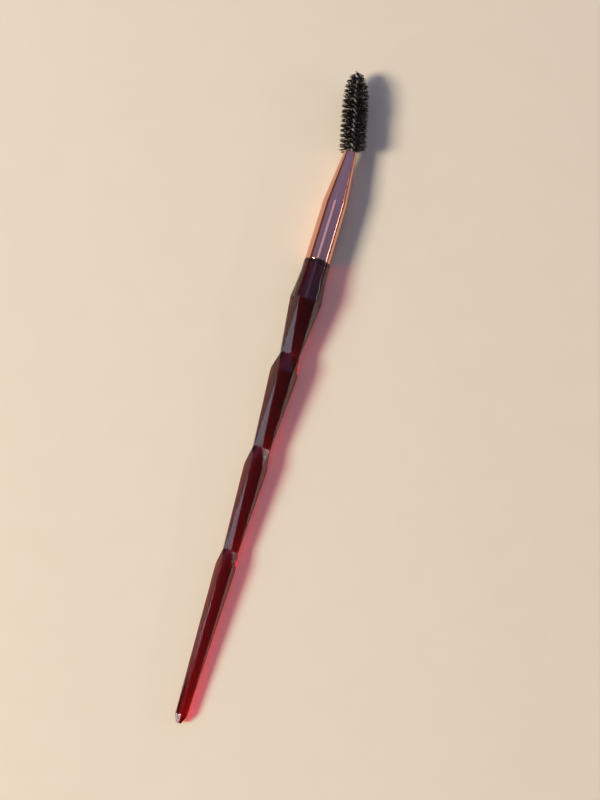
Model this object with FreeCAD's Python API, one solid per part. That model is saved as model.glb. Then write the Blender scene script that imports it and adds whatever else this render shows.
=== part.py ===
"""Eyebrow brush: a gem-cut acrylic handle, a tapered metal ferrule and a twisted-in-wire head.

It lies as it rests on a table: +Y towards the head, +Z up and the table at Z = 0.
"""
import FreeCAD, Part
import math
import os

Vector = FreeCAD.Vector

# Driving dimensions in millimetres and degrees.
# Each name ending in _AT is a distance along the axis from the tip of the tail.

# Handle: moulded acrylic, six-sided, with a corner ring at each bulge and waist
HANDLE_SIDES = 6
END_FACE_RADIUS = 0.7
TAIL_AT = 2.0
TAIL_RADIUS = 1.65
BULGE_4_AT = 39.5
BULGE_4_RADIUS = 2.6
WAIST_C_AT = 43.5
WAIST_C_RADIUS = 2.2
BULGE_3_AT = 65.0
BULGE_3_RADIUS = 3.0
WAIST_B_AT = 70.0
WAIST_B_RADIUS = 2.5
BULGE_2_AT = 90.0
BULGE_2_RADIUS = 3.6
WAIST_A_AT = 94.5
WAIST_A_RADIUS = 2.8
BULGE_1_AT = 109.0
BULGE_1_RADIUS = 4.1
COLLAR_AT = 116.0
COLLAR_RADIUS = 3.4
COLLAR_LENGTH = 3.5
COLLAR_ROUND = 0.3
TENON_LENGTH = 9.0
TENON_CHAMFER = 0.6
CORNER_FAN_STEPS = 8

# Ferrule: drawn aluminium tube, a long sleeve and then a cone
FERRULE_BASE_RADIUS = 3.3
SHOULDER_RADIUS = 3.2
MOUTH_RADIUS = 1.65
SLEEVE_LENGTH = 16.0
CONE_LENGTH = 14.0
FERRULE_WALL = 0.35
SHOULDER_ROUND = 3.0
RIM_CHAMFER = 0.1
TENON_CLEARANCE = 0.05

# Glue plug: it fills the cone round the stem and stops short of the mouth
GLUE_SHORT_OF_MOUTH = 1.3
GLUE_LENGTH = 10.0
GLUE_CLEARANCE = 0.01

# Stem and head: one steel wire, folded once and twisted round the filaments
WIRE_DIAMETER = 0.46
TWIST_PITCH = 2.6
STEM_IN_GLUE = 9.0
STEM_OFF_AXIS = 0.6
STEM_CLEARANCE = 0.02
BEND_ANGLE = 12.7
BEND_RADIUS = 5.0
HEAD_LENGTH = 21.2
WIRE_PAST_LAST_FILAMENT = 0.3
TUBE_SIDES = 6
STEPS_PER_TWIST = 10
FOLD_STEPS = 6

# Filaments: nylon, each one passes between the two strands
FILAMENT_WIDTH = 0.11
NIP_CLEARANCE = 0.005
FIRST_FILAMENT = 0.8
HEAD_RADIUS_AT_MOUTH = 3.85
HEAD_RADIUS_AT_NOSE = 3.45
HEAD_RADIUS_AT_TIP = 0.9
NOSE_LENGTH = 8.2

# Places that follow from the sizes above
COLLAR_END_AT = COLLAR_AT + COLLAR_LENGTH
SHOULDER_AT = COLLAR_END_AT + SLEEVE_LENGTH
MOUTH_AT = SHOULDER_AT + CONE_LENGTH
HALF_STEP = 180.0 / HANDLE_SIDES
STRAND_OFF_CORE = (WIRE_DIAMETER + FILAMENT_WIDTH) / 2 + NIP_CLEARANCE
STEM_RADIUS = STRAND_OFF_CORE + WIRE_DIAMETER / 2
BEND_LENGTH = BEND_RADIUS * math.radians(BEND_ANGLE)

# Rings of corners: place along the axis, radius, and turn of the first corner.
# Bulge rings have a side at the bottom and waist rings have a corner there.
RINGS = [
    (0.0, END_FACE_RADIUS, HALF_STEP),
    (TAIL_AT, TAIL_RADIUS, HALF_STEP),
    (BULGE_4_AT, BULGE_4_RADIUS, 0.0),
    (WAIST_C_AT, WAIST_C_RADIUS, HALF_STEP),
    (BULGE_3_AT, BULGE_3_RADIUS, 0.0),
    (WAIST_B_AT, WAIST_B_RADIUS, HALF_STEP),
    (BULGE_2_AT, BULGE_2_RADIUS, 0.0),
    (WAIST_A_AT, WAIST_A_RADIUS, HALF_STEP),
    (BULGE_1_AT, BULGE_1_RADIUS, 0.0),
]


def ring_point(place, radius, turn):
    """A point at a radius and a turn about the handle's axis, which is Y here."""
    angle = math.radians(turn)
    return Vector(radius * math.cos(angle), place, radius * math.sin(angle))


def ring_corners(ring):
    place, radius, first = ring
    turns = [first + 2 * HALF_STEP * k for k in range(HANDLE_SIDES)]
    return [ring_point(place, radius, turn) for turn in turns]


def flat_face(*corners):
    return Part.Face(Part.makePolygon(list(corners) + [corners[0]]))


def solid_of(faces):
    """One solid from flat faces that meet edge to edge."""
    shell = Part.makeShell(faces)
    shell.sewShape()
    solid = Part.Solid(shell)
    if solid.Volume < 0:
        solid.reverse()
    return solid


def facets_between(low, high):
    """Triangles between two rings; the upper one may be turned half a step."""
    low_corners = ring_corners(low)
    high_corners = ring_corners(high)
    ahead = 1 if high[2] < low[2] else 0
    faces = []
    for k in range(HANDLE_SIDES):
        after = (k + 1) % HANDLE_SIDES
        if high[2] == low[2]:
            faces.append(flat_face(low_corners[k], low_corners[after], high_corners[after], high_corners[k]))
            continue
        opposite = high_corners[after] if ahead else high_corners[k]
        faces.append(flat_face(low_corners[k], low_corners[after], opposite))
        opposite = low_corners[k] if ahead else low_corners[after]
        faces.append(flat_face(high_corners[k], high_corners[after], opposite))
    return faces


def fans_to_collar():
    """From the last bulge to the round collar: one triangle a side and one fan a corner."""
    corners = ring_corners(RINGS[-1])
    step = 2 * HALF_STEP / CORNER_FAN_STEPS
    faces = []
    rim = []
    for k in range(HANDLE_SIDES):
        start = 2 * HALF_STEP * k - HALF_STEP
        arc = [ring_point(COLLAR_AT, COLLAR_RADIUS, start + step * i) for i in range(CORNER_FAN_STEPS + 1)]
        for here, there in zip(arc, arc[1:]):
            faces.append(flat_face(corners[k], here, there))
        faces.append(flat_face(corners[k], corners[(k + 1) % HANDLE_SIDES], arc[-1]))
        rim.extend(arc[:-1])
    faces.append(flat_face(*rim))
    return faces


def turned(profile):
    """A turned solid from (radius, place) corners; a third number rounds that corner."""
    ends = []
    edges = []
    for k, (radius, place, *rounding) in enumerate(profile):
        corner = Vector(radius, place, 0)
        if not rounding:
            ends.append((corner, corner))
            continue
        before = Vector(profile[k - 1][0], profile[k - 1][1], 0)
        after = Vector(profile[(k + 1) % len(profile)][0], profile[(k + 1) % len(profile)][1], 0)
        to_before = (before - corner).normalize()
        to_after = (after - corner).normalize()
        half_turn = (math.pi - to_before.getAngle(to_after)) / 2
        start = corner + to_before * (rounding[0] * math.tan(half_turn))
        end = corner + to_after * (rounding[0] * math.tan(half_turn))
        inwards = (to_before + to_after).normalize()
        middle = corner + inwards * (rounding[0] / math.cos(half_turn) - rounding[0])
        edges.append(Part.Arc(start, middle, end).toShape())
        ends.append((start, end))
    for k in range(len(ends)):
        edges.append(Part.makeLine(ends[k - 1][1], ends[k][0]))
    face = Part.Face(Part.Wire(Part.__sortEdges__(edges)))
    return face.revolve(Vector(0, 0, 0), Vector(0, 1, 0), 360)


def bore_radius(place):
    """Inside radius of the ferrule: the outside of its sleeve or cone, less the wall."""
    if place <= SHOULDER_AT:
        share = (place - COLLAR_END_AT) / SLEEVE_LENGTH
        return FERRULE_BASE_RADIUS + (SHOULDER_RADIUS - FERRULE_BASE_RADIUS) * share - FERRULE_WALL
    share = (place - SHOULDER_AT) / CONE_LENGTH
    return SHOULDER_RADIUS + (MOUTH_RADIUS - SHOULDER_RADIUS) * share - FERRULE_WALL


def make_handle():
    """The gem-cut bar, its round collar and the tenon that the ferrule sleeves over."""
    end = ring_corners(RINGS[0])
    faces = [flat_face(*reversed(end))]
    for low, high in zip(RINGS, RINGS[1:]):
        faces.extend(facets_between(low, high))
    faces.extend(fans_to_collar())
    bar = solid_of(faces)
    collar = turned([
        (0, COLLAR_AT),
        (COLLAR_RADIUS, COLLAR_AT),
        (COLLAR_RADIUS, COLLAR_END_AT, COLLAR_ROUND),
        (0, COLLAR_END_AT),
    ])
    tenon_end = COLLAR_END_AT + TENON_LENGTH
    chamfer_from = tenon_end - TENON_CHAMFER
    tenon = turned([
        (0, COLLAR_AT),
        (bore_radius(COLLAR_END_AT) - TENON_CLEARANCE, COLLAR_AT),
        (bore_radius(COLLAR_END_AT) - TENON_CLEARANCE, COLLAR_END_AT),
        (bore_radius(chamfer_from) - TENON_CLEARANCE, chamfer_from),
        (bore_radius(tenon_end) - TENON_CLEARANCE - TENON_CHAMFER, tenon_end),
        (0, tenon_end),
    ])
    return bar.fuse([collar, tenon]).removeSplitter()


def make_ferrule():
    """A thin tube with an even wall, open at both ends and rounded at the shoulder."""
    return turned([
        (FERRULE_BASE_RADIUS - RIM_CHAMFER, COLLAR_END_AT),
        (FERRULE_BASE_RADIUS, COLLAR_END_AT + RIM_CHAMFER),
        (SHOULDER_RADIUS, SHOULDER_AT, SHOULDER_ROUND),
        (MOUTH_RADIUS, MOUTH_AT - RIM_CHAMFER),
        (MOUTH_RADIUS - RIM_CHAMFER, MOUTH_AT),
        (bore_radius(MOUTH_AT), MOUTH_AT),
        (bore_radius(SHOULDER_AT), SHOULDER_AT, SHOULDER_ROUND - FERRULE_WALL),
        (bore_radius(COLLAR_END_AT), COLLAR_END_AT),
    ])


def make_glue_plug():
    """The set glue inside the cone, bored for the stem."""
    top = MOUTH_AT - GLUE_SHORT_OF_MOUTH
    bottom = top - GLUE_LENGTH
    plug = turned([
        (0, bottom),
        (bore_radius(bottom) - GLUE_CLEARANCE, bottom),
        (bore_radius(top) - GLUE_CLEARANCE, top),
        (0, top),
    ])
    bore_from = Vector(STEM_OFF_AXIS, top - STEM_IN_GLUE, 0)
    bore = Part.makeCylinder(STEM_RADIUS + STEM_CLEARANCE, STEM_IN_GLUE, bore_from, Vector(0, 1, 0))
    return plug.cut(bore)


def stem_line(along):
    """Place, direction and side of the stem's core, at a distance from the end of its bend.

    The core runs straight out of the glue, bends towards -X and is straight again in the head.
    """
    bend_at = MOUTH_AT - GLUE_SHORT_OF_MOUTH
    if along <= -BEND_LENGTH:
        place = Vector(STEM_OFF_AXIS, bend_at + along + BEND_LENGTH, 0)
        return place, Vector(0, 1, 0), Vector(1, 0, 0)
    turn = min(math.radians(BEND_ANGLE), (along + BEND_LENGTH) / BEND_RADIUS)
    ahead = Vector(-math.sin(turn), math.cos(turn), 0)
    side = Vector(math.cos(turn), math.sin(turn), 0)
    place = Vector(STEM_OFF_AXIS - BEND_RADIUS * (1 - math.cos(turn)), bend_at + BEND_RADIUS * math.sin(turn), 0)
    return place + ahead * max(along, 0.0), ahead, side


def around_core(along, turn):
    """Place on the core and the direction that points away from it at a turn."""
    place, ahead, side = stem_line(along)
    angle = math.radians(turn)
    return place, side * math.cos(angle) + Vector(0, 0, math.sin(angle))


def twist_at(along):
    return 360.0 * along / TWIST_PITCH


def strand_points(first_turn, start, end):
    steps = max(2, round(abs(end - start) / TWIST_PITCH * STEPS_PER_TWIST))
    points = []
    for k in range(steps + 1):
        along = start + (end - start) * k / steps
        place, away = around_core(along, twist_at(along) + first_turn)
        points.append(place + away * STRAND_OFF_CORE)
    return points


def tube_along(points, diameter):
    """A round wire through the points, as rings of corners joined by triangles."""
    rings = []
    normal = None
    for k, point in enumerate(points):
        before = points[max(k - 1, 0)]
        after = points[min(k + 1, len(points) - 1)]
        ahead = (after - before).normalize()
        if normal is None:
            normal = ahead.cross(Vector(0, 0, 1)).normalize()
        normal = (normal - ahead * normal.dot(ahead)).normalize()
        across = ahead.cross(normal)
        ring = []
        for side in range(TUBE_SIDES):
            angle = 2 * math.pi * side / TUBE_SIDES
            ring.append(point + (normal * math.cos(angle) + across * math.sin(angle)) * (diameter / 2))
        rings.append(ring)
    faces = [flat_face(*reversed(rings[0])), flat_face(*rings[-1])]
    for low, high in zip(rings, rings[1:]):
        for side in range(TUBE_SIDES):
            after = (side + 1) % TUBE_SIDES
            faces.append(flat_face(low[side], low[after], high[after]))
            faces.append(flat_face(low[side], high[after], high[side]))
    return solid_of(faces)


def make_wire_core():
    """One wire: up one strand, round the fold that the glue holds, and back along the other."""
    tip = HEAD_LENGTH
    fold = -BEND_LENGTH - STEM_IN_GLUE + STRAND_OFF_CORE + WIRE_DIAMETER / 2
    place, away = around_core(fold, twist_at(fold))
    ahead = stem_line(fold)[1]
    bow = []
    for k in range(1, FOLD_STEPS):
        angle = math.pi * k / FOLD_STEPS
        bow.append(place + (away * math.cos(angle) - ahead * math.sin(angle)) * STRAND_OFF_CORE)
    down = strand_points(0, tip, fold)
    back = strand_points(180, fold, tip)
    return tube_along(down + bow + back, WIRE_DIAMETER)


def head_radius(along):
    """Reach of the filaments: nearly even, then the rounded nose, a part of an ellipse."""
    nose_from = HEAD_LENGTH - NOSE_LENGTH
    if along < nose_from:
        share = along / nose_from
        return HEAD_RADIUS_AT_MOUTH + (HEAD_RADIUS_AT_NOSE - HEAD_RADIUS_AT_MOUTH) * share
    tip_share = math.sqrt(1 - (HEAD_RADIUS_AT_TIP / HEAD_RADIUS_AT_NOSE) ** 2)
    share = (along - nose_from) / NOSE_LENGTH * tip_share
    return HEAD_RADIUS_AT_NOSE * math.sqrt(1 - share * share)


def make_filament(along):
    """One straight filament, nipped at its middle between the two strands."""
    place, away = around_core(along, twist_at(along) + 90)
    ahead = stem_line(along)[1]
    across = ahead.cross(away)
    half = FILAMENT_WIDTH / 2
    start = place - away * head_radius(along)
    corners = [start + ahead * (half * a) + across * (half * c) for a, c in ((1, 1), (1, -1), (-1, -1), (-1, 1))]
    return flat_face(*corners).extrude(away * (2 * head_radius(along)))


def make_bristles():
    """All the filaments, squeezed into one pack where the strands nip them at the core."""
    last = HEAD_LENGTH - WIRE_PAST_LAST_FILAMENT
    count = int((last - FIRST_FILAMENT) / FILAMENT_WIDTH) + 1
    filaments = [make_filament(FIRST_FILAMENT + FILAMENT_WIDTH * k) for k in range(count)]
    return filaments[0].fuse(filaments[1:])


def rest_tilt():
    """Degrees between the axis and the table, lying on the tail ring and on what sticks out most."""
    def drop(radius, first):
        turns = [first + 2 * HALF_STEP * k for k in range(HANDLE_SIDES)]
        return -min(radius * math.sin(math.radians(turn)) for turn in turns)

    tail_drop = drop(TAIL_RADIUS, HALF_STEP)
    lows = [(place, drop(radius, first)) for place, radius, first in RINGS[2:]]
    lows.append((COLLAR_END_AT, COLLAR_RADIUS))
    lows.append((SHOULDER_AT, SHOULDER_RADIUS))
    slopes = [math.atan2(low - tail_drop, place - TAIL_AT) for place, low in lows]
    return math.degrees(max(slopes))


def lay_on_table(pieces):
    """Tilt the pieces to their rest and centre them over the table."""
    lean = FreeCAD.Placement(Vector(0, 0, 0), FreeCAD.Rotation(Vector(1, 0, 0), rest_tilt()))
    for shape in pieces.values():
        shape.Placement = lean.multiply(shape.Placement)
    box = Part.makeCompound(list(pieces.values())).optimalBoundingBox(False)
    shift = Vector(-(box.XMin + box.XMax) / 2, -(box.YMin + box.YMax) / 2, -box.ZMin)
    for shape in pieces.values():
        shape.translate(shift)
    return shift


pieces = {
    "handle": make_handle(),
    "ferrule": make_ferrule(),
    "glue_plug": make_glue_plug(),
    "wire_core": make_wire_core(),
    "bristles": make_bristles(),
}
shift = lay_on_table(pieces)

os.makedirs("parts", exist_ok=True)
for name, shape in pieces.items():
    shape.exportStep("parts/" + name + ".step")
    box = shape.BoundBox
    print(name, "solids", len(shape.Solids), "valid", shape.isValid(), "volume %.2f" % shape.Volume,
          "X %.2f %.2f Y %.2f %.2f Z %.3f %.3f" % (box.XMin, box.XMax, box.YMin, box.YMax, box.ZMin, box.ZMax))

end_face = FreeCAD.Placement(Vector(0, 0, 0), FreeCAD.Rotation(Vector(1, 0, 0), rest_tilt()))
print("rest tilt %.3f degrees" % rest_tilt())
print("end face centre %.4f %.4f %.4f" % tuple(shift))
print("end face normal", end_face.multVec(Vector(0, -1, 0)))
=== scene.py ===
# %% [markdown]
# # A spiral eyebrow brush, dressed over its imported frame
# The brush is an assembly of one moulded acrylic handle, one metal ferrule and one twisted-in-wire head.
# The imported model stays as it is: its sizes are repeated below, and its place is read from the frame. This
# script builds what the eye sees over it: polished see-through acrylic, anodised metal, satin wire and
# nearly a thousand nylon filaments.

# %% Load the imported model
import math

import bmesh
import bpy
from mathutils import Matrix, Vector


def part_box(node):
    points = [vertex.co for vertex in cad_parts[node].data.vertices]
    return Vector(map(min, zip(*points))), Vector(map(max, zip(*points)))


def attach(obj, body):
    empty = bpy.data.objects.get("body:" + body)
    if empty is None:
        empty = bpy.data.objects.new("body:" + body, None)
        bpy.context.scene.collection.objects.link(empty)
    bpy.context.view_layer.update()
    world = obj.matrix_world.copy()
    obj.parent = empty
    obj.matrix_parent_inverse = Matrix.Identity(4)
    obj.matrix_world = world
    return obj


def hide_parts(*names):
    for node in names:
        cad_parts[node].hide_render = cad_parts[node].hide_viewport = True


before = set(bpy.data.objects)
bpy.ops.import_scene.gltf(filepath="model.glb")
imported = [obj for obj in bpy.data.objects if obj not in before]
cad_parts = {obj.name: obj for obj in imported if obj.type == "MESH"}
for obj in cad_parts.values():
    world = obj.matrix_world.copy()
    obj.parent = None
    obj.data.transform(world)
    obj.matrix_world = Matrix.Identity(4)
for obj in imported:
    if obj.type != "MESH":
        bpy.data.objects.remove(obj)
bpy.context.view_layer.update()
print("pieces in the frame:", sorted(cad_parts))

# %% [markdown]
# ## Sizes
# Blender works in metres here and a brush is measured in millimetres, so one constant turns one into the
# other. The places run along the brush's own axis from the tip of its tail, as a maker would dimension it.

# %% Sizes of the handle, the ferrule and the head
MM = 0.001
SIDES = 6
HALF_STEP = math.pi / SIDES
END_FACE_RADIUS = 0.7
TAIL_AT, TAIL_RADIUS = 2.0, 1.65
BULGES = {39.5: 2.6, 65.0: 3.0, 90.0: 3.6, 109.0: 4.1}
WAISTS = {43.5: 2.2, 70.0: 2.5, 94.5: 2.8}
BULGE_1_AT = max(BULGES)
COLLAR_AT, COLLAR_END_AT, COLLAR_RADIUS = 116.0, 119.5, 3.4
SHOULDER_AT, MOUTH_AT = 135.5, 149.5
FERRULE_BASE_RADIUS, SHOULDER_RADIUS, MOUTH_RADIUS = 3.3, 3.2, 1.65
FERRULE_WALL = 0.35
TENON_RADIUS, TENON_LENGTH = 2.88, 9.0
GLUE_SHORT_OF_MOUTH = 1.3
STEM_OFF_AXIS = 0.6
BEND_ANGLE, BEND_RADIUS = math.radians(12.7), 5.0
HEAD_LENGTH = 21.2
TWIST_PITCH = 2.6
STEM_IN_GLUE = 9.0
WIRE_DIAMETER = 0.46
NIP = 0.12
FIRST_FILAMENT = 0.8
print("tail to mouth %.1f mm, head %.1f mm" % (MOUTH_AT, HEAD_LENGTH))

# %% [markdown]
# ## The brush's own axis
# The brush lies on its widest bulge and on the tail, so its axis leans by about a degree. Everything is
# built upright along one axis first and laid down by one matrix. The lean is worked out from the two
# points that it lies on: a flat side of the widest bulge and the lowest corner of the tail.

# %% Matrix from the brush's axis to the table
side_drop = BULGES[BULGE_1_AT] * math.cos(HALF_STEP)
LEAN = math.atan2(side_drop - TAIL_RADIUS, BULGE_1_AT - TAIL_AT)
tail_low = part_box("handle")[0]
ferrule_low, ferrule_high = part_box("ferrule")
axis_x = (ferrule_low.x + ferrule_high.x) / 2
tail_y = tail_low.y + END_FACE_RADIUS * MM * math.sin(LEAN)
tail_z = (TAIL_RADIUS * math.cos(LEAN) - TAIL_AT * math.sin(LEAN)) * MM
TO_TABLE = Matrix.Translation((axis_x, tail_y, tail_z)) @ Matrix.Rotation(LEAN, 4, "X") @ Matrix.Scale(MM, 4)
print("lean %.2f degrees" % math.degrees(LEAN))
print("mouth centre", [round(c / MM, 2) for c in TO_TABLE @ Vector((0, MOUTH_AT, 0))])


# %% [markdown]
# ## Colours and nodes
# A colour as given here is a screen colour, and a shader wants light. One function turns the first into
# the second. One more adds a node with its settings and its links, so each material reads as a short list.

# %% Colour and node helpers
def linear(hex_colour):
    """An sRGB hex colour as linear red, green, blue and a full alpha."""
    channels = [int(hex_colour[k:k + 2], 16) / 255 for k in (1, 3, 5)]
    return [c / 12.92 if c <= 0.04045 else ((c + 0.055) / 1.055) ** 2.4 for c in channels] + [1.0]


def add(tree, kind, settings=None, **inputs):
    """Adds a node: settings are its properties, inputs its sockets, as values or as other sockets.

    A socket is named with _ for each space, or i0, i1 and so on by its number.
    """
    node = tree.nodes.new(kind)
    for key, value in (settings or {}).items():
        setattr(node, key, value)
    for key, value in inputs.items():
        name = key.replace("_", " ")
        socket = node.inputs[int(name[1:])] if name[0] == "i" and name[1:].isdigit() else node.inputs[name]
        if isinstance(value, bpy.types.NodeSocket):
            tree.links.new(value, socket)
        else:
            socket.default_value = value
    return node


def new_material(name):
    """An empty material and its output node."""
    material = bpy.data.materials.new(name)
    material.use_nodes = True
    material.node_tree.nodes.clear()
    output = material.node_tree.nodes.new("ShaderNodeOutputMaterial")
    print("material:", name)
    return material, material.node_tree, output


# %% [markdown]
# ## Moulded acrylic, dyed deep ruby
# The handle is injection-moulded acrylic, polished in the mould: a very smooth face, an index of 1.49 and
# a dye right through it. Dye is a matter of depth, so the colour is made inside the body by a volume that
# soaks up light: the thin tail glows red and the thick bulges are almost black. A small share of plain
# diffuse red stands for the dye's own powder, and keeps the thick parts burgundy. A shadow ray can't
# bend, so for it alone the body is a red filter, and the table under it gets the red shade of a gemstone.

# %% Acrylic material
def make_acrylic():
    material, tree, output = new_material("moulded_ruby_acrylic")
    position = add(tree, "ShaderNodeTexCoord").outputs["Object"]
    # Fine handling scratches, some 0.4 mm apart, change how sharp the gloss is from spot to spot.
    scratches = add(tree, "ShaderNodeTexNoise", Vector=position, Scale=2500.0, Detail=3.0, Roughness=0.6)
    rough = add(tree, "ShaderNodeMapRange", Value=scratches.outputs["Fac"], From_Min=0.35, From_Max=0.75)
    rough.inputs["To Min"].default_value = 0.03
    rough.inputs["To Max"].default_value = 0.12
    # A facet is never quite flat: ripples some 0.25 mm apart make its sheen a little grainy.
    ripples = add(tree, "ShaderNodeTexNoise", Vector=position, Scale=4200.0, Detail=2.0, Roughness=0.7)
    bump = add(tree, "ShaderNodeBump", Height=ripples.outputs["Fac"], Strength=0.3, Distance=0.00002)
    gloss = add(tree, "ShaderNodeBsdfPrincipled", Base_Color=linear("#fff4f4"), IOR=1.49)
    gloss.inputs["Transmission Weight"].default_value = 1.0
    tree.links.new(rough.outputs["Result"], gloss.inputs["Roughness"])
    tree.links.new(bump.outputs["Normal"], gloss.inputs["Normal"])
    # The share of light that the dye's powder throws straight back.
    powder = add(tree, "ShaderNodeBsdfDiffuse", Color=linear("#98101c"), Roughness=0.3)
    body = add(tree, "ShaderNodeMixShader", i0=0.045, i1=gloss.outputs["BSDF"], i2=powder.outputs["BSDF"])
    filter_for_lamps = add(tree, "ShaderNodeBsdfTransparent", Color=linear("#ff5e48"))
    path = add(tree, "ShaderNodeLightPath")
    surface = add(tree, "ShaderNodeMixShader", i0=path.outputs["Is Shadow Ray"],
                  i1=body.outputs["Shader"], i2=filter_for_lamps.outputs["BSDF"])
    dye = add(tree, "ShaderNodeVolumeAbsorption", Color=linear("#f43860"), Density=4200.0)
    tree.links.new(surface.outputs["Shader"], output.inputs["Surface"])
    tree.links.new(dye.outputs["Volume"], output.inputs["Volume"])
    return material


# %% [markdown]
# ## The gem-cut handle
# The bar is a stack of six-cornered rings. Each ring is turned half a step from the one before, which is
# what makes every facet a triangle, as on an antiprism. From the last bulge the facets run out into a
# round collar: one flat triangle for each side, and a fan of narrow ones round each corner. A moulded
# edge is never perfectly sharp, so the gem's edges get a narrow bevel that catches a line of light, and
# the collar's rim is a small arc. The collar has one more ring just before that arc: smooth shading
# blends from ring to ring, and without it the rim's slope would show along the whole collar.

# %% Rings of corners, and the faces between two rings
def ring(mesh, place, radius, first, count):
    """New corners in a ring about the axis, which is Y; the first one is turned by an angle."""
    turns = [first + 2 * math.pi * k / count for k in range(count)]
    return [mesh.verts.new((radius * math.cos(turn), place, radius * math.sin(turn))) for turn in turns]


def join_rings(mesh, low, high, turned):
    """Faces between two rings of the same count: squares, or two triangles a side where one is turned."""
    count = len(low)
    for k in range(count):
        after = (k + 1) % count
        if turned == 0:
            mesh.faces.new((low[k], high[k], high[after], low[after]))
        elif turned > 0:
            mesh.faces.new((low[k], high[k], low[after]))
            mesh.faces.new((high[k], high[after], low[after]))
        else:
            mesh.faces.new((low[k], high[after], low[after]))
            mesh.faces.new((high[k], high[after], low[k]))


# %% A mesh made a piece, and a piece finished
def as_piece(mesh, name, sharp_from):
    """The closed mesh as an object, shaded smooth up to an angle between faces in degrees."""
    bmesh.ops.recalc_face_normals(mesh, faces=mesh.faces)
    data = bpy.data.meshes.new(name)
    mesh.to_mesh(data)
    mesh.free()
    for polygon in data.polygons:
        polygon.use_smooth = True
    data.set_sharp_from_angle(angle=math.radians(sharp_from))
    piece = bpy.data.objects.new(name, data)
    bpy.context.scene.collection.objects.link(piece)
    return piece


def finished(piece, name):
    """The piece with its modifiers applied, laid on the table, as a plain mesh."""
    graph = bpy.context.evaluated_depsgraph_get()
    data = bpy.data.meshes.new_from_object(piece.evaluated_get(graph))
    bpy.data.objects.remove(piece)
    data.name = name
    data.transform(TO_TABLE)
    done = bpy.data.objects.new(name, data)
    bpy.context.scene.collection.objects.link(done)
    print(name, "triangles", sum(len(p.vertices) - 2 for p in data.polygons))
    return done


# %% The gem's facets
EDGE_BEVEL = 0.11


def cut_gem(mesh):
    """Facets from the tail to the last bulge, whose ring of corners it gives back."""
    rings = [(0.0, END_FACE_RADIUS, HALF_STEP), (TAIL_AT, TAIL_RADIUS, HALF_STEP)]
    rings += [(place, radius, 0.0) for place, radius in BULGES.items()]
    rings += [(place, radius, HALF_STEP) for place, radius in WAISTS.items()]
    rings.sort()
    weight = mesh.edges.layers.float.new("bevel_weight_edge")
    corners = [ring(mesh, place, radius, first, SIDES) for place, radius, first in rings]
    mesh.faces.new(corners[0])
    for k in range(len(rings) - 1):
        join_rings(mesh, corners[k], corners[k + 1], rings[k + 1][2] - rings[k][2])
    for edge in mesh.edges:
        edge[weight] = 1.0
    print("rings of corners from the tail:", [place for place, radius, first in rings])
    return corners[-1]


# %% The collar and the tenon
FAN_STEPS = 16
COLLAR_ROUND, ROUND_STEPS = 0.3, 6
RING_BEFORE_ROUND = 0.1


def turn_collar(mesh, last_bulge):
    """The facets' run into the round collar, then the collar and the tenon."""
    round_from = COLLAR_END_AT - COLLAR_ROUND
    profile = [(COLLAR_RADIUS, place) for place in (COLLAR_AT, round_from - RING_BEFORE_ROUND, round_from)]
    for k in range(1, ROUND_STEPS + 1):
        turn = math.pi / 2 * k / ROUND_STEPS
        profile.append((COLLAR_RADIUS - COLLAR_ROUND * (1 - math.cos(turn)),
                        round_from + COLLAR_ROUND * math.sin(turn)))
    profile += [(TENON_RADIUS, COLLAR_END_AT), (TENON_RADIUS, COLLAR_END_AT + TENON_LENGTH)]
    count = SIDES * FAN_STEPS
    turned = [ring(mesh, place, radius, -HALF_STEP, count) for radius, place in profile]
    for k in range(SIDES):
        arc = [turned[0][(FAN_STEPS * k + i) % count] for i in range(FAN_STEPS + 1)]
        for here, there in zip(arc, arc[1:]):
            mesh.faces.new((last_bulge[k], here, there))
        mesh.faces.new((last_bulge[k], arc[-1], last_bulge[(k + 1) % SIDES]))
    for low, high in zip(turned, turned[1:]):
        join_rings(mesh, low, high, 0)
    mesh.faces.new(turned[-1])
    print("collar and tenon:", len(profile), "rings of", count, "corners")


# %% The whole handle
def make_handle():
    mesh = bmesh.new()
    turn_collar(mesh, cut_gem(mesh))
    piece = as_piece(mesh, "gem_cut_handle", sharp_from=20)
    bevel = piece.modifiers.new("moulded_edges", "BEVEL")
    bevel.width = EDGE_BEVEL
    bevel.segments = 3
    bevel.limit_method = "WEIGHT"
    bevel.harden_normals = True
    return piece


handle = finished(make_handle(), "gem_cut_handle")
handle.data.materials.clear()
handle.data.materials.append(make_acrylic())
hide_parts("handle")
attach(handle, "root")


# %% [markdown]
# ## The ferrule: drawn aluminium, anodised rose gold
# The tube is drawn and tapered over a mandrel, tumbled bright and anodised in a copper dye. Bright drawn
# metal has faint lines along the draw, so its gloss is narrow across the tube and long along it, and what
# it reflects turns into straight bands. The dye takes a little unevenly, in blotches of about a millimetre.

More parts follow.
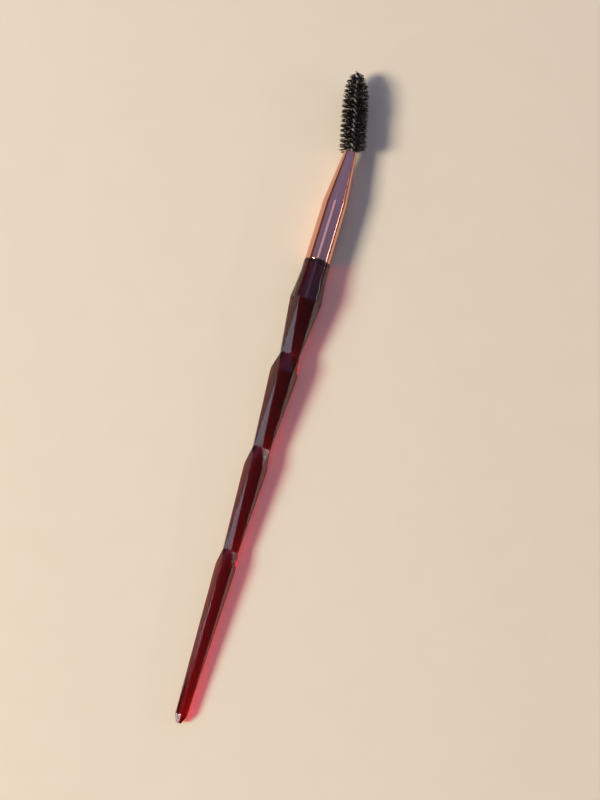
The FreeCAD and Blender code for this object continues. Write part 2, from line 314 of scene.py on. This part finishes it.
# %% Anodised aluminium material
def make_rose_gold():
    material, tree, output = new_material("anodised_rose_gold_aluminium")
    position = add(tree, "ShaderNodeTexCoord").outputs["Object"]
    # Draw lines run along Y, about 0.17 mm apart: the pattern is stretched thirty times that way.
    along = add(tree, "ShaderNodeMapping", Vector=position, Scale=(6000.0, 200.0, 6000.0))
    lines = add(tree, "ShaderNodeTexNoise", Vector=along.outputs["Vector"], Scale=1.0, Detail=2.0)
    blotches = add(tree, "ShaderNodeTexNoise", Vector=position, Scale=900.0, Detail=3.0)
    rough = add(tree, "ShaderNodeMapRange", Value=lines.outputs["Fac"], From_Min=0.3, From_Max=0.7)
    rough.inputs["To Min"].default_value = 0.08
    rough.inputs["To Max"].default_value = 0.16
    tint = add(tree, "ShaderNodeMix", {"data_type": "RGBA"}, Factor=blotches.outputs["Fac"])
    tint.inputs["A"].default_value = linear("#e2a898")
    tint.inputs["B"].default_value = linear("#dc9c88")
    bump = add(tree, "ShaderNodeBump", Height=lines.outputs["Fac"], Strength=0.06, Distance=0.00002)
    metal = add(tree, "ShaderNodeBsdfPrincipled", Metallic=1.0, Anisotropic=0.7, Anisotropic_Rotation=0.25)
    round_axis = add(tree, "ShaderNodeTangent", {"direction_type": "RADIAL", "axis": "Y"})
    tree.links.new(round_axis.outputs["Tangent"], metal.inputs["Tangent"])
    tree.links.new(tint.outputs["Result"], metal.inputs["Base Color"])
    tree.links.new(rough.outputs["Result"], metal.inputs["Roughness"])
    tree.links.new(bump.outputs["Normal"], metal.inputs["Normal"])
    tree.links.new(metal.outputs["BSDF"], output.inputs["Surface"])
    return material


# %% [markdown]
# ## The ferrule's shape
# A turned part is a profile swept round an axis, which is one loop here. The shoulder between the long
# sleeve and the cone is a soft curve, and both rims are broken edges, one lit line each. As on the
# collar, a ring close to each rim keeps the slope of the broken edge off the long, straight wall.

# %% Turned pieces
TURNED_STEPS = 160


def rounded_corner(before, corner, after, radius, steps):
    """Points of a fillet at a profile's corner."""
    before, corner, after = Vector(before), Vector(corner), Vector(after)
    one = (before - corner).normalized()
    two = (after - corner).normalized()
    half_turn = (math.pi - one.angle(two)) / 2
    centre = corner + (one + two).normalized() * (radius / math.cos(half_turn))
    start = corner + one * (radius * math.tan(half_turn)) - centre
    end = corner + two * (radius * math.tan(half_turn)) - centre
    return [tuple(centre + start.lerp(end, k / steps).normalized() * radius) for k in range(steps + 1)]


def turned_piece(name, profile):
    """A closed profile of (radius, place) corners swept round the axis."""
    mesh = bmesh.new()
    rings = [ring(mesh, place, radius, 0.0, TURNED_STEPS) for radius, place in profile]
    for low, high in zip(rings, rings[1:] + rings[:1]):
        join_rings(mesh, low, high, 0)
    print(name, "has a profile of", len(profile), "corners")
    return as_piece(mesh, name, sharp_from=30)


# %% Ferrule mesh
SHOULDER_ROUND, SHOULDER_STEPS = 3.0, 5
BROKEN_EDGE = 0.1
NEAR_RIM = 0.015


def make_ferrule():
    base, shoulder, mouth = FERRULE_BASE_RADIUS, SHOULDER_RADIUS, MOUTH_RADIUS
    wall, edge, bow = FERRULE_WALL, BROKEN_EDGE, 0.3 * BROKEN_EDGE
    outer = rounded_corner((base, COLLAR_END_AT), (shoulder, SHOULDER_AT), (mouth, MOUTH_AT),
                           SHOULDER_ROUND, SHOULDER_STEPS)
    inner = rounded_corner((mouth - wall, MOUTH_AT), (shoulder - wall, SHOULDER_AT),
                           (base - wall, COLLAR_END_AT), SHOULDER_ROUND - wall, SHOULDER_STEPS)
    base_rim = [(base - edge, COLLAR_END_AT), (base - bow, COLLAR_END_AT + bow), (base, COLLAR_END_AT + edge)]
    mouth_rim = [(mouth, MOUTH_AT - edge), (mouth - bow, MOUTH_AT - bow), (mouth - edge, MOUTH_AT)]
    near_base = tuple(Vector(base_rim[-1]).lerp(outer[0], NEAR_RIM))
    near_mouth = tuple(Vector(mouth_rim[0]).lerp(outer[-1], NEAR_RIM))
    profile = base_rim + [near_base] + outer + [near_mouth] + mouth_rim
    profile += [(mouth - wall, MOUTH_AT)] + inner + [(base - wall, COLLAR_END_AT)]
    return turned_piece("tapered_ferrule", profile)


ferrule = finished(make_ferrule(), "tapered_ferrule")
ferrule.data.materials.clear()
ferrule.data.materials.append(make_rose_gold())
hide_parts("ferrule")
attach(ferrule, "root")


# %% [markdown]
# ## Geometry Nodes helpers
# The wire and the filaments follow rules, so they are grown by node trees with named inputs. A tree is a
# recipe: its inputs are the sizes that a maker would change, and a fixed seed keeps its chance the same.

# %% Build a tree, give it to a carrier and bake it
def new_tree(name, sizes):
    """A geometry tree whose inputs are the named sizes, with its input and output nodes."""
    tree = bpy.data.node_groups.new(name, "GeometryNodeTree")
    for label, value in sizes.items():
        kind = "NodeSocketInt" if isinstance(value, int) else "NodeSocketFloat"
        socket = tree.interface.new_socket(label, in_out="INPUT", socket_type=kind)
        socket.default_value = value
    tree.interface.new_socket("Geometry", in_out="OUTPUT", socket_type="NodeSocketGeometry")
    print("tree:", name, "with inputs", ", ".join(sizes))
    return tree, tree.nodes.new("NodeGroupInput").outputs, tree.nodes.new("NodeGroupOutput")


def grown(name, tree, sizes):
    """A piece grown by the tree with these sizes, as a plain mesh laid on the table."""
    carrier = bpy.data.objects.new(name, bpy.data.meshes.new(name))
    bpy.context.scene.collection.objects.link(carrier)
    modifier = carrier.modifiers.new(name, "NODES")
    modifier.node_group = tree
    for item in tree.interface.items_tree:
        if item.in_out == "INPUT" and item.name in sizes:
            modifier[item.identifier] = sizes[item.name]
    return finished(carrier, name)


def calc(tree, operation, *values):
    """One arithmetic step on numbers or sockets."""
    node = tree.nodes.new("ShaderNodeMath")
    node.operation = operation
    for socket, value in zip(node.inputs, values):
        if isinstance(value, bpy.types.NodeSocket):
            tree.links.new(value, socket)
        else:
            socket.default_value = value
    return node.outputs[0]


# %% [markdown]
# ## The stem's line
# The stem comes straight out of the glue, a little off the ferrule's axis, and is bent to one side just
# inside the mouth, as it is on a brush that has been used and pushed about. The head past the bend is
# straight again, so one matrix places the whole of it.

# %% Matrix from the head's axis to the brush's axis
bend_from = MOUTH_AT - GLUE_SHORT_OF_MOUTH
head_base = Vector((STEM_OFF_AXIS - BEND_RADIUS * (1 - math.cos(BEND_ANGLE)),
                    bend_from + BEND_RADIUS * math.sin(BEND_ANGLE), 0))
TO_BRUSH = Matrix.Translation(head_base) @ Matrix.Rotation(BEND_ANGLE, 4, "Z")
print("head starts at", [round(c, 2) for c in head_base])


# %% [markdown]
# ## The twisted wire
# One steel wire is folded in two, the filaments are laid between its legs, and the legs are twisted until
# they grip. Each strand is a helix half a turn from its twin. The tree draws a straight line of points,
# turns each one about the core by its place along it, and sweeps a round section along the line. What lies
# before the head's base goes down the arc of the bend and then straight into the glue, which the same
# steps give: the distance below the base is spent on the arc first, and what is left of it on the stem.

# %% Satin steel wire material
def make_wire_steel():
    material, tree, output = new_material("drawn_stainless_steel_wire")
    position = add(tree, "ShaderNodeTexCoord").outputs["Object"]
    # Stainless wire comes off the die satin, and twisting roughens it: wide, pale gleams, not sharp ones.
    grain = add(tree, "ShaderNodeTexNoise", Vector=position, Scale=6000.0, Detail=2.0)
    rough = add(tree, "ShaderNodeMapRange", Value=grain.outputs["Fac"], From_Min=0.3, From_Max=0.7)
    rough.inputs["To Min"].default_value = 0.42
    rough.inputs["To Max"].default_value = 0.58
    steel = add(tree, "ShaderNodeBsdfPrincipled", Metallic=1.0, Base_Color=linear("#f2f2f4"))
    tree.links.new(rough.outputs["Result"], steel.inputs["Roughness"])
    tree.links.new(steel.outputs["BSDF"], output.inputs["Surface"])
    return material


# %% Tree of the two strands
WIRE_SIZES = {"Length": HEAD_LENGTH, "Below Base": BEND_RADIUS * BEND_ANGLE + STEM_IN_GLUE,
              "Pitch": TWIST_PITCH, "Off Core": (WIRE_DIAMETER + NIP) / 2,
              "Wire Radius": WIRE_DIAMETER / 2, "Bend Radius": BEND_RADIUS,
              "Bend Angle": BEND_ANGLE, "Points": 330, "Sides": 12}


def wire_tree(material):
    tree, size, output = new_tree("two_twisted_strands", WIRE_SIZES)
    strands = tree.nodes.new("GeometryNodeJoinGeometry")
    for first in (0.0, math.pi):
        line = add(tree, "GeometryNodeCurvePrimitiveLine", Start=(0, 0, 0), End=(0, 1, 0))
        points = add(tree, "GeometryNodeResampleCurve", Curve=line.outputs["Curve"], Count=size["Points"])
        share = add(tree, "GeometryNodeSplineParameter").outputs["Factor"]
        whole_length = calc(tree, "ADD", size["Length"], size["Below Base"])
        along = calc(tree, "SUBTRACT", calc(tree, "MULTIPLY", share, whole_length), size["Below Base"])
        turn = calc(tree, "MULTIPLY", calc(tree, "DIVIDE", along, size["Pitch"]), 2 * math.pi)
        turn = calc(tree, "ADD", turn, first)
        # How far the point lies ahead of the base, on the bend as an angle, and on the straight stem.
        ahead = calc(tree, "MAXIMUM", along, 0.0)
        below = calc(tree, "MAXIMUM", calc(tree, "MULTIPLY", along, -1.0), 0.0)
        arc = calc(tree, "MINIMUM", calc(tree, "DIVIDE", below, size["Bend Radius"]), size["Bend Angle"])
        stem = calc(tree, "SUBTRACT", below, calc(tree, "MULTIPLY", arc, size["Bend Radius"]))
        out = calc(tree, "MULTIPLY", calc(tree, "COSINE", turn), size["Off Core"])
        from_bend = calc(tree, "ADD", size["Bend Radius"], out)
        sine, cosine = calc(tree, "SINE", arc), calc(tree, "COSINE", arc)
        x = calc(tree, "SUBTRACT", calc(tree, "MULTIPLY", from_bend, cosine), size["Bend Radius"])
        x = calc(tree, "SUBTRACT", x, calc(tree, "MULTIPLY", stem, sine))
        y = calc(tree, "SUBTRACT", ahead, calc(tree, "MULTIPLY", from_bend, sine))
        y = calc(tree, "SUBTRACT", y, calc(tree, "MULTIPLY", stem, cosine))
        z = calc(tree, "MULTIPLY", calc(tree, "SINE", turn), size["Off Core"])
        place = add(tree, "ShaderNodeCombineXYZ", X=x, Y=y, Z=z)
        helix = add(tree, "GeometryNodeSetPosition", Geometry=points.outputs["Curve"],
                    Position=place.outputs["Vector"])
        section = add(tree, "GeometryNodeCurvePrimitiveCircle", Resolution=size["Sides"],
                      Radius=size["Wire Radius"])
        swept = add(tree, "GeometryNodeCurveToMesh", Curve=helix.outputs["Geometry"],
                    Profile_Curve=section.outputs["Curve"])
        swept.inputs["Fill Caps"].default_value = True
        tree.links.new(swept.outputs["Mesh"], strands.inputs["Geometry"])
    whole = add(tree, "GeometryNodeRealizeInstances", Geometry=strands.outputs["Geometry"])
    coated = add(tree, "GeometryNodeSetMaterial", Geometry=whole.outputs["Geometry"], Material=material)
    tree.links.new(coated.outputs["Geometry"], output.inputs["Geometry"])
    return tree


# %% The wire in its place
def lay_head(piece):
    """Moves a piece from the head's axis to the table: it was laid down along the brush's axis."""
    piece.data.transform(TO_TABLE @ TO_BRUSH @ TO_TABLE.inverted())


wire = grown("twisted_wire", wire_tree(make_wire_steel()), WIRE_SIZES)
lay_head(wire)
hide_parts("wire_core")
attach(wire, "root")


# %% [markdown]
# ## The filaments
# Eyebrow brushes have soft nylon filaments, about a tenth of a millimetre thick and dyed black-brown.
# A filament is a straight piece of nylon line nipped at its middle, so it sticks out on both sides of the
# core, across the line between the two strands. Each one is turned a little further than the last, and
# the whole row makes the double spiral that gives such a brush its teeth. A particle system could grow
# them, but a row of points with one line on each follows the twist exactly. Chance comes in after that:
# just past the nip each half strays round the core and along it, which fills the space between the rows,
# its tip gathers with its neighbours again, which leaves the teeth, and it bows and is cut its own way.

# %% Extruded nylon material
def make_nylon():
    material, tree, output = new_material("extruded_black_nylon_filament")
    position = add(tree, "ShaderNodeTexCoord").outputs["Object"]
    # Extruded line is glassy smooth, so black as it is, each filament has a thin gleam along it. Batches
    # of line differ a little: patches of some 0.6 mm drift between black and dark brown.
    batch = add(tree, "ShaderNodeTexNoise", Vector=position, Scale=1600.0, Detail=1.0)
    tint = add(tree, "ShaderNodeMix", {"data_type": "RGBA"}, Factor=batch.outputs["Fac"])
    tint.inputs["A"].default_value = linear("#070606")
    tint.inputs["B"].default_value = linear("#1c120e")
    rough = add(tree, "ShaderNodeMapRange", Value=batch.outputs["Fac"], From_Min=0.3, From_Max=0.7)
    rough.inputs["To Min"].default_value = 0.16
    rough.inputs["To Max"].default_value = 0.28
    nylon = add(tree, "ShaderNodeBsdfPrincipled", IOR=1.53)
    tree.links.new(tint.outputs["Result"], nylon.inputs["Base Color"])
    tree.links.new(rough.outputs["Result"], nylon.inputs["Roughness"])
    tree.links.new(nylon.outputs["BSDF"], output.inputs["Surface"])
    return material


# %% Chance, one value for each filament
def random_way(tree, number, seed, most):
    """A random vector for each number, each part between minus and plus the most."""
    chance = tree.nodes.new("FunctionNodeRandomValue")
    chance.data_type = "FLOAT_VECTOR"
    chance.inputs[0].default_value = (-1, -1, -1)
    chance.inputs[1].default_value = (1, 1, 1)
    tree.links.new(number, chance.inputs["ID"])
    tree.links.new(seed, chance.inputs["Seed"])
    return scaled(tree, chance.outputs[0], most)


def scaled(tree, vector, amount):
    """The vector times a number."""
    node = add(tree, "ShaderNodeVectorMath", {"operation": "SCALE"}, i0=vector, Scale=amount)
    return node.outputs["Vector"]


# %% Sizes of the filaments, and their reach
BRISTLE_SIZES = {"Count": 960, "First": FIRST_FILAMENT, "Last": HEAD_LENGTH - 0.1, "Pitch": TWIST_PITCH,
                 "Reach At Mouth": 3.85, "Reach At Nose": 3.45, "Reach At Tip": 0.8, "Nose Length": 8.2,
                 "Filament Radius": 0.054, "Astray": 0.5, "Spread": 0.66, "Gather": 0.6, "Lean": 0.15,
                 "Bow": 0.2, "Uneven Cut": 0.05, "Points": 6, "Seed": 7}


def reach_at(tree, along, size):
    """How far the filaments reach: nearly even, then the rounded nose, a part of an ellipse."""
    nose_from = calc(tree, "SUBTRACT", HEAD_LENGTH, size["Nose Length"])
    share = calc(tree, "DIVIDE", along, nose_from)
    change = calc(tree, "SUBTRACT", size["Reach At Nose"], size["Reach At Mouth"])
    even = calc(tree, "ADD", size["Reach At Mouth"], calc(tree, "MULTIPLY", change, share))
    ratio = calc(tree, "DIVIDE", size["Reach At Tip"], size["Reach At Nose"])
    tip_share = calc(tree, "SQRT", calc(tree, "SUBTRACT", 1.0, calc(tree, "MULTIPLY", ratio, ratio)))
    into = calc(tree, "MAXIMUM", calc(tree, "SUBTRACT", along, nose_from), 0.0)
    into = calc(tree, "MULTIPLY", calc(tree, "DIVIDE", into, size["Nose Length"]), tip_share)
    fall = calc(tree, "SQRT", calc(tree, "SUBTRACT", 1.0, calc(tree, "MULTIPLY", into, into)))
    return calc(tree, "MINIMUM", even, calc(tree, "MULTIPLY", size["Reach At Nose"], fall))


# %% A straight line for each filament
def nipped_lines(tree, size):
    """Lines across the core, each in its place along it and turned by the twist."""
    points = add(tree, "GeometryNodePoints", Count=size["Count"])
    index = add(tree, "GeometryNodeInputIndex").outputs["Index"]
    row = calc(tree, "DIVIDE", index, calc(tree, "SUBTRACT", size["Count"], 1.0))
    length = calc(tree, "SUBTRACT", size["Last"], size["First"])
    along = calc(tree, "ADD", size["First"], calc(tree, "MULTIPLY", row, length))
    place = add(tree, "ShaderNodeCombineXYZ", Y=along)
    laid = add(tree, "GeometryNodeSetPosition", Geometry=points.outputs["Geometry"],
               Position=place.outputs["Vector"])
    turn = calc(tree, "MULTIPLY", calc(tree, "DIVIDE", along, size["Pitch"]), -2 * math.pi)
    turn = calc(tree, "SUBTRACT", turn, math.pi / 2)
    turned = add(tree, "ShaderNodeCombineXYZ", Y=turn)
    reach = add(tree, "ShaderNodeCombineXYZ", X=reach_at(tree, along, size), Y=1.0, Z=1.0)
    line = add(tree, "GeometryNodeCurvePrimitiveLine", Start=(-1, 0, 0), End=(1, 0, 0))
    both_ways = calc(tree, "SUBTRACT", calc(tree, "MULTIPLY", size["Points"], 2.0), 1.0)
    line = add(tree, "GeometryNodeResampleCurve", Curve=line.outputs["Curve"], Count=both_ways)
    row_of_lines = add(tree, "GeometryNodeInstanceOnPoints", Points=laid.outputs["Geometry"],
                       Instance=line.outputs["Curve"], Scale=reach.outputs["Vector"])
    tree.links.new(turned.outputs["Vector"], row_of_lines.inputs["Rotation"])
    lines = add(tree, "GeometryNodeRealizeInstances", Geometry=row_of_lines.outputs["Instances"])
    return lines.outputs["Geometry"]


# %% Where each point of a filament goes astray to
HELD_TO, FREE_FROM, GATHER_FROM = 0.08, 0.28, 0.55
USUAL_CUT = 0.7


def astray(tree, size):
    """The place of each point once chance has moved it, by how far out along its filament it lies."""
    # One number for each half of each filament: twice its own number, and one more on the far side.
    own = add(tree, "GeometryNodeCurveOfPoint").outputs["Curve Index"]
    share = add(tree, "GeometryNodeSplineParameter").outputs["Factor"]
    half = calc(tree, "ADD", calc(tree, "MULTIPLY", own, 2.0), calc(tree, "GREATER_THAN", share, 0.5))
    out = calc(tree, "ABSOLUTE", calc(tree, "SUBTRACT", calc(tree, "MULTIPLY", share, 2.0), 1.0))
    # Held square at the nip, astray by a quarter of the way out, and gathered again towards the tip.
    chance = add(tree, "ShaderNodeSeparateXYZ", Vector=random_way(tree, half, size["Seed"], 1.0)).outputs
    smooth = {"interpolation_type": "SMOOTHSTEP"}
    free = add(tree, "ShaderNodeMapRange", smooth, Value=out, From_Min=HELD_TO, From_Max=FREE_FROM)
    tip = add(tree, "ShaderNodeMapRange", smooth, Value=out, From_Min=GATHER_FROM)
    loose = calc(tree, "SUBTRACT", 1.0, calc(tree, "MULTIPLY", tip.outputs["Result"], size["Gather"]))
    stray = calc(tree, "MULTIPLY", free.outputs["Result"], loose)
    swing = calc(tree, "MULTIPLY", calc(tree, "MULTIPLY", chance["X"], stray), size["Astray"])
    spread = calc(tree, "MULTIPLY", calc(tree, "MULTIPLY", chance["Y"], stray), size["Spread"])
    spot = add(tree, "GeometryNodeInputPosition").outputs["Position"]
    swung = add(tree, "ShaderNodeVectorRotate", {"rotation_type": "Y_AXIS"}, Vector=spot, Angle=swing)
    parts = add(tree, "ShaderNodeSeparateXYZ", Vector=swung.outputs["Vector"]).outputs
    flat = add(tree, "ShaderNodeCombineXYZ", X=parts["X"], Z=parts["Z"])
    lean = random_way(tree, half, calc(tree, "ADD", size["Seed"], 1.0), size["Lean"])
    bow = random_way(tree, half, calc(tree, "ADD", size["Seed"], 2.0), size["Bow"])
    cut = calc(tree, "MULTIPLY", calc(tree, "SUBTRACT", chance["Z"], USUAL_CUT), size["Uneven Cut"])
    shifts = (add(tree, "ShaderNodeCombineXYZ", Y=spread).outputs["Vector"],
              scaled(tree, lean, out),
              scaled(tree, bow, calc(tree, "POWER", out, 2.0)),
              scaled(tree, flat.outputs["Vector"], cut))
    place = swung.outputs["Vector"]
    for shift in shifts:
        place = add(tree, "ShaderNodeVectorMath", {"operation": "ADD"}, i0=place, i1=shift).outputs["Vector"]
    return place


# %% Tree of the filaments
def bristle_tree(material):
    tree, size, output = new_tree("nipped_filaments", BRISTLE_SIZES)
    grown_lines = add(tree, "GeometryNodeSetPosition", Geometry=nipped_lines(tree, size),
                      Position=astray(tree, size))
    section = add(tree, "GeometryNodeCurvePrimitiveCircle", Resolution=4, Radius=size["Filament Radius"])
    swept = add(tree, "GeometryNodeCurveToMesh", Curve=grown_lines.outputs["Geometry"],
                Profile_Curve=section.outputs["Curve"])
    swept.inputs["Fill Caps"].default_value = True
    whole = add(tree, "GeometryNodeRealizeInstances", Geometry=swept.outputs["Mesh"])
    coated = add(tree, "GeometryNodeSetMaterial", Geometry=whole.outputs["Geometry"], Material=material)
    tree.links.new(coated.outputs["Geometry"], output.inputs["Geometry"])
    return tree


# %% The filaments in their place
bristles = grown("nylon_filaments", bristle_tree(make_nylon()), BRISTLE_SIZES)
lay_head(bristles)
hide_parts("bristles")
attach(bristles, "root")


# %% [markdown]
# ## The plug of glue
# The glue that holds the stem fills the ferrule and can only be seen as a small disc down its mouth. The
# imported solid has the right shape, so it stays and only gets its finish: a clear epoxy gone amber.

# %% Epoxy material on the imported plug
def make_epoxy():
    material, tree, output = new_material("set_amber_epoxy")
    position = add(tree, "ShaderNodeTexCoord").outputs["Object"]
    # Tiny bubbles and ripples, some 0.3 mm across, left as the glue set.
    ripples = add(tree, "ShaderNodeTexNoise", Vector=position, Scale=3000.0, Detail=2.0)
    bump = add(tree, "ShaderNodeBump", Height=ripples.outputs["Fac"], Strength=0.3, Distance=0.00005)
    epoxy = add(tree, "ShaderNodeBsdfPrincipled", Base_Color=linear("#7a5a3a"), Roughness=0.3, IOR=1.5)
    tree.links.new(bump.outputs["Normal"], epoxy.inputs["Normal"])
    tree.links.new(epoxy.outputs["BSDF"], output.inputs["Surface"])
    return material


plug = bpy.data.objects["glue_plug"]
plug.data.materials.clear()
plug.data.materials.append(make_epoxy())
print("packed plug keeps its shape:", plug.name)

# %% [markdown]
# ## The floor
# A matt, warm white board. It is large enough to fill the frame, so its own colour is the background, and
# it keeps the soft shadow. It lies a hundredth of a millimetre low, so that nothing flickers against it.

# %% Floor of painted board
def make_board_paint():
    material, tree, output = new_material("matt_painted_board")
    position = add(tree, "ShaderNodeTexCoord").outputs["Object"]
    # Roller marks some 8 mm across, only just there.
    marks = add(tree, "ShaderNodeTexNoise", Vector=position, Scale=120.0, Detail=2.0)
    tint = add(tree, "ShaderNodeMix", {"data_type": "RGBA"}, Factor=marks.outputs["Fac"])
    tint.inputs["A"].default_value = linear("#efe4cc")
    tint.inputs["B"].default_value = linear("#ece0c7")
    paint = add(tree, "ShaderNodeBsdfPrincipled", Roughness=0.75)
    tree.links.new(tint.outputs["Result"], paint.inputs["Base Color"])
    tree.links.new(paint.outputs["BSDF"], output.inputs["Surface"])
    return material


HALF_FLOOR = 3.0
FLOOR_AT = -0.01 * MM
floor_mesh = bpy.data.meshes.new("pale_floor")
floor_corners = [(HALF_FLOOR * x, HALF_FLOOR * y, FLOOR_AT) for x, y in ((-1, -1), (1, -1), (1, 1), (-1, 1))]
floor_mesh.from_pydata(floor_corners, [], [(0, 1, 2, 3)])
floor = bpy.data.objects.new("pale_floor", floor_mesh)
bpy.context.scene.collection.objects.link(floor)
floor.data.materials.append(make_board_paint())
print("floor of", 2 * HALF_FLOOR, "m")


# %% [markdown]
# ## The lamps
# Polished facets and drawn metal show what is round them, so each lamp has one job. The key stands to the
# left, as the sun does in the photograph, just outside what the long facets mirror: it lights the board,
# the filaments and the wire, and draws the soft shadow. A dim softbox beside it lies where the upper left
# facets look, and gives them their grey sheen. The last three make one mark each: the white glint on the
# tail, the soft streak down the ferrule and the thin bright line to the right of it.

# %% Softboxes
def add_softbox(name, place, size, power, colour):
    """An area lamp at a place, facing the middle of the brush: metres, watts and a screen colour."""
    lamp = bpy.data.lights.new(name, "AREA")
    lamp.shape = "RECTANGLE"
    lamp.size, lamp.size_y = size
    lamp.energy = power
    lamp.color = linear(colour)[:3]
    box = bpy.data.objects.new(name, lamp)
    box.location = place
    box.rotation_euler = (-Vector(place)).to_track_quat("-Z", "Y").to_euler()
    box.visible_camera = False
    bpy.context.scene.collection.objects.link(box)
    print(name, "at", [round(c, 2) for c in place])


add_softbox("sheen_left", (-0.805, -0.02, 0.592), (0.22, 0.3), 0.62, "#e6ecff")
add_softbox("key_from_left", (-1.37, -0.70, 1.11), (0.48, 0.48), 42.5, "#fff4e4")
add_softbox("soft_streak", (-0.27, 0.24, 0.93), (0.4, 0.26), 0.2, "#dfe8ff")
add_softbox("tail_glint", (-0.64, -0.74, 0.27), (0.15, 0.15), 0.6, "#ffffff")
add_softbox("edge_strip_right", (0.92, 0.22, 0.33), (0.5, 0.04), 0.6, "#ffffff")


# %% [markdown]
# ## The world
# The room has warm, dim walls, a grey ceiling and a cool end beyond the head of the brush. Seen from the
# camera, the metal mirrors that cool end as a lilac band along its top, with the walls as dark lines
# beside it, while the long facets of the handle mirror the grey part and stay deep.

# %% World
WALLS_TO, CEILING_FROM = 0.25, 0.55
COOL_FROM, COOL_ALL_FROM = 0.19, 0.235
world = bpy.data.worlds.new("dim_room_with_a_cool_end")
bpy.context.scene.world = world
world.use_nodes = True
room = world.node_tree
room.nodes.clear()
look = add(room, "ShaderNodeTexCoord").outputs["Generated"]
way = add(room, "ShaderNodeSeparateXYZ", Vector=look).outputs
smooth = {"interpolation_type": "SMOOTHSTEP"}
ceiling = add(room, "ShaderNodeMapRange", smooth, Value=way["Z"], From_Min=WALLS_TO,
              From_Max=CEILING_FROM)
cool_end = add(room, "ShaderNodeMapRange", smooth, Value=way["Y"], From_Min=COOL_FROM,
               From_Max=COOL_ALL_FROM)
above = add(room, "ShaderNodeMix", {"data_type": "RGBA"}, Factor=cool_end.outputs["Result"])
above.inputs["A"].default_value = linear("#54545c")
above.inputs["B"].default_value = linear("#8590c4")
shade = add(room, "ShaderNodeMix", {"data_type": "RGBA"}, Factor=ceiling.outputs["Result"])
shade.inputs["A"].default_value = linear("#6c5242")
room.links.new(above.outputs["Result"], shade.inputs["B"])
background = add(room, "ShaderNodeBackground", Strength=1.0)
room.links.new(shade.outputs["Result"], background.inputs["Color"])
add(room, "ShaderNodeOutputWorld", Surface=background.outputs["Background"])
print("world:", world.name)


# %% [markdown]
# ## The camera
# The photograph looks almost straight down, a little from the tail's end and from the left, with the brush
# turned in the frame. Those angles, the distance and the width of the view were fitted to the corners of
# the facets, so the camera is built from them: where it stands, which way is up, and how long its lens is.

# %% Camera
CAMERA_TO_TAIL = math.radians(9.97)
CAMERA_TO_LEFT = math.radians(6.0)
CAMERA_ROLL = math.radians(16.57)
CAMERA_DISTANCE = 0.4512
CAMERA_AIM = Vector((0.00687, -0.0005, 0.003))
LONG_SIDE_VIEW = math.radians(25.0)
back = Vector((-math.tan(CAMERA_TO_LEFT), -math.tan(CAMERA_TO_TAIL), 1.0)).normalized()
level_up = (Vector((0, 1, 0)) - back * back.y).normalized()
level_right = level_up.cross(back)
up = level_up * math.cos(CAMERA_ROLL) - level_right * math.sin(CAMERA_ROLL)
right = up.cross(back)
camera_data = bpy.data.cameras.new("overhead_camera")
camera_data.sensor_width = 36.0
camera_data.lens = 18.0 / math.tan(LONG_SIDE_VIEW / 2)
camera = bpy.data.objects.new("overhead_camera", camera_data)
turn = Matrix((right, up, back)).transposed().to_4x4()
camera.matrix_world = Matrix.Translation(CAMERA_AIM + back * CAMERA_DISTANCE) @ turn
bpy.context.scene.collection.objects.link(camera)
bpy.context.scene.camera = camera
bpy.context.scene.view_settings.view_transform = "Standard"
print("lens %.1f mm at %.3f m" % (camera_data.lens, CAMERA_DISTANCE))
